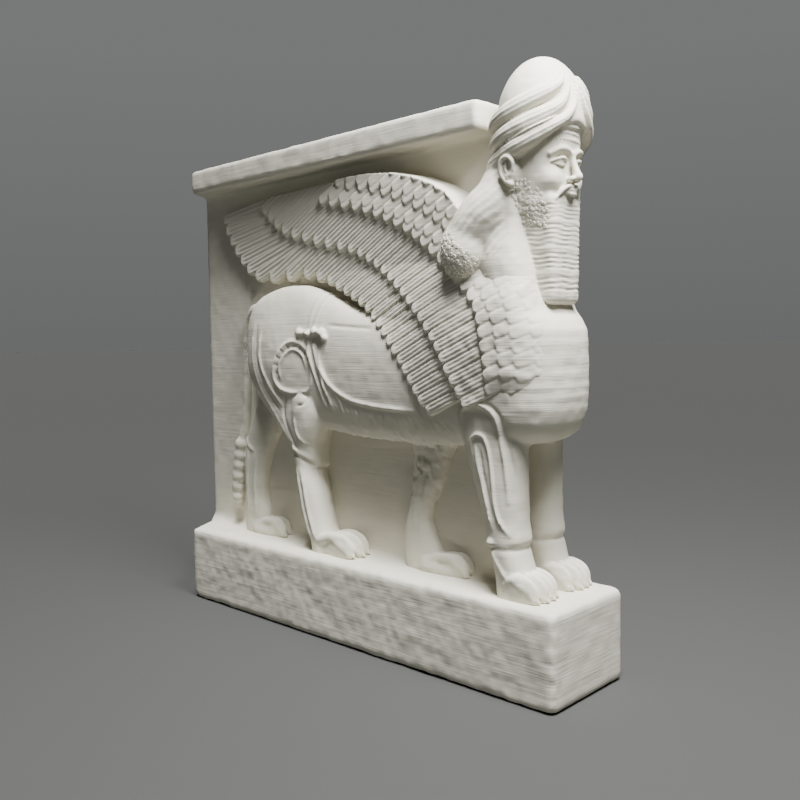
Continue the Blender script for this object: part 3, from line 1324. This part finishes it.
def end_tree(tree, instances, material):
    """Ends a tree: the instances are made real, get their material and go out."""
    made = add_node(tree, "GeometryNodeRealizeInstances", {0: instances})
    painted = add_node(tree, "GeometryNodeSetMaterial", {"Geometry": made.outputs[0], "Material": material})
    last = tree.nodes.new("NodeGroupOutput")
    tree.links.new(painted.outputs[0], last.inputs[0])


def curl_tree():
    """Geometry Nodes: small spirals over a patch."""
    tree = bpy.data.node_groups.new("curls", "GeometryNodeTree")
    sockets = tree.interface
    sockets.new_socket("Patch", in_out="INPUT", socket_type="NodeSocketGeometry")
    for name, kind, value in (
        ("Spacing", "NodeSocketFloat", 0.0012), ("Radius", "NodeSocketFloat", 0.0006),
        ("Strand", "NodeSocketFloat", 0.0002), ("Seed", "NodeSocketInt", 1),
        ("Material", "NodeSocketMaterial", None),
    ):
        socket = sockets.new_socket(name, in_out="INPUT", socket_type=kind)
        if value is not None:
            socket.default_value = value
    sockets.new_socket("Curls", in_out="OUTPUT", socket_type="NodeSocketGeometry")
    given = tree.nodes.new("NodeGroupInput").outputs
    points = add_node(tree, "GeometryNodeDistributePointsOnFaces", {
        "Mesh": given["Patch"], "Distance Min": given["Spacing"], "Density Max": 3e6, "Seed": given["Seed"],
    }, distribute_method="POISSON")
    spiral = add_node(tree, "GeometryNodeCurveSpiral", {
        "Resolution": 9, "Rotations": 1.6, "Start Radius": 0.08 * MM, "End Radius": given["Radius"],
        "Height": 0.0,
    })
    ring = add_node(tree, "GeometryNodeCurvePrimitiveCircle", {"Resolution": 5, "Radius": given["Strand"]})
    strand = add_node(tree, "GeometryNodeCurveToMesh", {
        "Curve": spiral.outputs[0], "Profile Curve": ring.outputs[0], "Fill Caps": True,
    })
    spin = add_node(tree, "FunctionNodeRandomValue", {
        0: (0, 0, 0), 1: (0, 0, 6.28), "Seed": 3,
    }, data_type="FLOAT_VECTOR")
    turned = add_node(tree, "FunctionNodeRotateRotation", {
        0: points.outputs["Rotation"], 1: spin.outputs[0],
    }, rotation_space="LOCAL")
    placed = add_node(tree, "GeometryNodeInstanceOnPoints", {
        "Points": points.outputs["Points"], "Instance": strand.outputs[0], "Rotation": turned.outputs[0],
    })
    end_tree(tree, placed.outputs[0], given["Material"])
    return tree


# %% Curls on the bunches and the jaw
BUNCH_CURLS = {"Spacing": 1.05 * MM, "Radius": 0.5 * MM, "Strand": 0.17 * MM}
JAW_CURLS = {"Spacing": 0.75 * MM, "Radius": 0.4 * MM, "Strand": 0.16 * MM}
curls_group = curl_tree()


def curled(name, sheet, sizes, seed):
    """Curls over a sheet, as a plain mesh piece; the sheet itself goes."""
    sheet.name = name
    return repeated(sheet, curls_group, {**sizes, "Seed": seed, "Material": bone})


def bunch_patch(name, side):
    """The egg of a bunch, without what lies in the stem or the body."""
    (x, out, z), radii = BULB
    centre = (x, side_out(side, out), z)

    def keep(px, pout, pz):
        clear_of_stem = 0.67 * (px - x) + 0.74 * (pz - z) < 1.6
        clear_of_body = side * (pout - centre[1]) > -2.6
        return clear_of_stem & clear_of_body

    turn, rise = np.meshgrid(np.linspace(0, 2 * np.pi, 49), np.linspace(-1.5, 1.5, 33), indexing="ij")
    places = [
        centre[0] + radii[0] * np.cos(rise) * np.cos(turn),
        centre[1] + radii[1] * np.cos(rise) * np.sin(turn),
        centre[2] + radii[2] * np.sin(rise),
    ]
    return patch(name, *places, keep)


def jaw_patch(name, side):
    """A sheet just over the carved surface, from below the ear to the beard's front edge."""
    xs, zs = np.linspace(88, 95.6, 40), np.linspace(60, 70, 50)
    x, z = np.meshgrid(xs, zs, indexing="ij")
    gap = clay_front(head_clay, xs, zs) + 0.08 - MIDDLE

    def keep(px, pout, pz):
        behind = px > np.interp(pz, (61, 64.3, 66.9, 68.8), (90.7, 89.9, 89.2, 89.0))
        ahead = px < np.interp(pz, (61, 63, 65.8, 68.6), (94.9, 95.0, 94.4, 91.3))
        return behind & ahead & (pz > 60.8) & (pz < 68.8)

    if side < 0:
        x, z, gap = x[::-1], z[::-1], gap[::-1]
    return patch(name, x, MIDDLE + side * gap, z, keep)


def bead_tree():
    """Geometry Nodes: a round bead on every point of a line."""
    tree = bpy.data.node_groups.new("beads", "GeometryNodeTree")
    sockets = tree.interface
    sockets.new_socket("Line", in_out="INPUT", socket_type="NodeSocketGeometry")
    sockets.new_socket("Radius", in_out="INPUT", socket_type="NodeSocketFloat").default_value = 0.0005
    sockets.new_socket("Material", in_out="INPUT", socket_type="NodeSocketMaterial")
    sockets.new_socket("Beads", in_out="OUTPUT", socket_type="NodeSocketGeometry")
    given = tree.nodes.new("NodeGroupInput").outputs
    ball = add_node(tree, "GeometryNodeMeshUVSphere", {"Segments": 10, "Rings": 7, "Radius": given["Radius"]})
    placed = add_node(tree, "GeometryNodeInstanceOnPoints", {
        "Points": given["Line"], "Instance": ball.outputs[0],
    })
    end_tree(tree, placed.outputs[0], given["Material"])
    return tree


def repeated(piece, group, values):
    """Runs a node group on a piece with its named inputs, and keeps the result as a plain mesh."""
    modifier = piece.modifiers.new(group.name, "NODES")
    modifier.node_group = group
    for socket in group.interface.items_tree:
        if socket.in_out == "INPUT" and socket.name in values:
            modifier[socket.identifier] = values[socket.name]
    settle(piece)
    print(piece.name, "has", len(piece.data.polygons), "faces")
    return piece


curls = []
for side, label in ((1, "near"), (-1, "far")):
    curls.append(curled(label + "_bunch_curls", bunch_patch("bunch", side), BUNCH_CURLS, 3 + side))
    curls.append(curled(label + "_jaw_curls", jaw_patch("jaw", side), JAW_CURLS, 8 + side))

# %% Beads over the brow
BEAD_REACH = 5.95
bead_turns = np.linspace(-1.35, 1.35, 25)
rows = []
for row, z in enumerate((74.6, 75.6)):
    turns = bead_turns + row * (bead_turns[1] - bead_turns[0]) / 2
    fall = 0.5 * (1 - np.cos(turns))
    x, out = HEAD_X + BEAD_REACH * np.cos(turns), MIDDLE + BEAD_REACH * np.sin(turns)
    rows.append(to_frame(x, out, z - 1.2 * fall))
line = mesh_object("brow_beads", np.concatenate(rows), np.zeros((0, 3), int))
beads = repeated(line, bead_tree(), {"Radius": 0.62 * MM, "Material": bone})

# %% [markdown]
# ## Joining the frame
#
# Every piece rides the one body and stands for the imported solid.

# %% Ride, slot and replace
pieces = [block, body, wing, head, *curls, beads]
for piece in pieces:
    piece.data.materials.clear()
    piece.data.materials.append(bone)
    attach(piece, "root")
    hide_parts("lamassu")
print(len(pieces), "pieces,", sum(triangles(piece) for piece in pieces), "triangles")

# %% [markdown]
# ## The stage
#
# A plain mid-grey floor, as in the photograph, and a grey sky that meets it without a line as the camera
# sees it, though not from behind. The sun is soft and high on the right, a small softbox is near the head,
# and the camera is a little above the plinth.

# %% Floor and lights
def plain_material(name, code, roughness):
    material = bpy.data.materials.new(name)
    material.use_nodes = True
    shader = material.node_tree.nodes["Principled BSDF"]
    shader.inputs["Base Color"].default_value = colour(code)
    shader.inputs["Roughness"].default_value = roughness
    return material


bpy.ops.mesh.primitive_plane_add(size=30.0, location=(0, 0, 0))
floor = bpy.context.object
floor.name = "floor"
floor.data.materials.append(plain_material("studio_floor", "424341", 0.85))


def aimed_light(name, kind, place, target, energy, **settings):
    """A light at a place, facing a target."""
    data = bpy.data.lights.new(name, kind)
    data.energy = energy
    for setting, value in settings.items():
        setattr(data, setting, value)
    light = bpy.data.objects.new(name, data)
    light.location = place
    light.rotation_euler = (Vector(target) - Vector(place)).to_track_quat("-Z", "Y").to_euler()
    bpy.context.scene.collection.objects.link(light)
    return light


HEAD_PLACE = (0.06, 0.0, 0.12)
aimed_light("window", "SUN", (0.17, -0.165, 0.95), (0, 0, 0), 5.9, angle=math.radians(16))
aimed_light("softbox", "AREA", (0.128, -0.03, 0.235), HEAD_PLACE, 1.0, size=0.08)
world = bpy.data.worlds.new("studio")
world.use_nodes = True
sky = world.node_tree
looking = add_node(sky, "ShaderNodeTexCoord").outputs["Generated"]
toward = add_node(sky, "ShaderNodeVectorMath", {0: looking, 1: (-0.69, 0.72, 0.0)}, operation="DOT_PRODUCT")
bright = add_node(sky, "ShaderNodeMapRange", {
    "Value": toward.outputs["Value"], "From Min": 0.3, "From Max": 0.8, "To Min": 0.06, "To Max": 0.48,
})
height = add_node(sky, "ShaderNodeSeparateXYZ", {0: looking}).outputs["Z"]
rise = add_node(sky, "ShaderNodeMapRange", {"Value": height, "From Max": 0.3, "To Min": 0.83, "To Max": 1.06})
strength = add_node(sky, "ShaderNodeMath", {0: bright.outputs[0], 1: rise.outputs[0]}, operation="MULTIPLY")
sky.nodes["Background"].inputs["Color"].default_value = colour("A3A4A4")
sky.links.new(strength.outputs[0], sky.nodes["Background"].inputs["Strength"])
bpy.context.scene.world = world

# %% Camera
CAMERA_PLACE = (0.1820, -0.1740, 0.0841)
camera = bpy.data.objects.new("camera", bpy.data.cameras.new("camera"))
camera.data.lens = 39.13
camera.data.clip_start = 0.01
bpy.context.scene.collection.objects.link(camera)
yaw, pitch, roll = math.radians(43.83), math.radians(3.82), math.radians(-0.88)
forward = Vector((-math.sin(yaw) * math.cos(pitch), math.cos(yaw) * math.cos(pitch), -math.sin(pitch)))
level = Vector((math.cos(yaw), math.sin(yaw), 0))
upright = level.cross(forward)
right = math.cos(roll) * level + math.sin(roll) * upright
up = -math.sin(roll) * level + math.cos(roll) * upright
turn = Matrix((right, up, -forward)).transposed()
camera.matrix_world = Matrix.Translation(CAMERA_PLACE) @ turn.to_4x4()
bpy.context.scene.camera = camera
print("camera at", CAMERA_PLACE, "lens", round(camera.data.lens, 2), "mm")
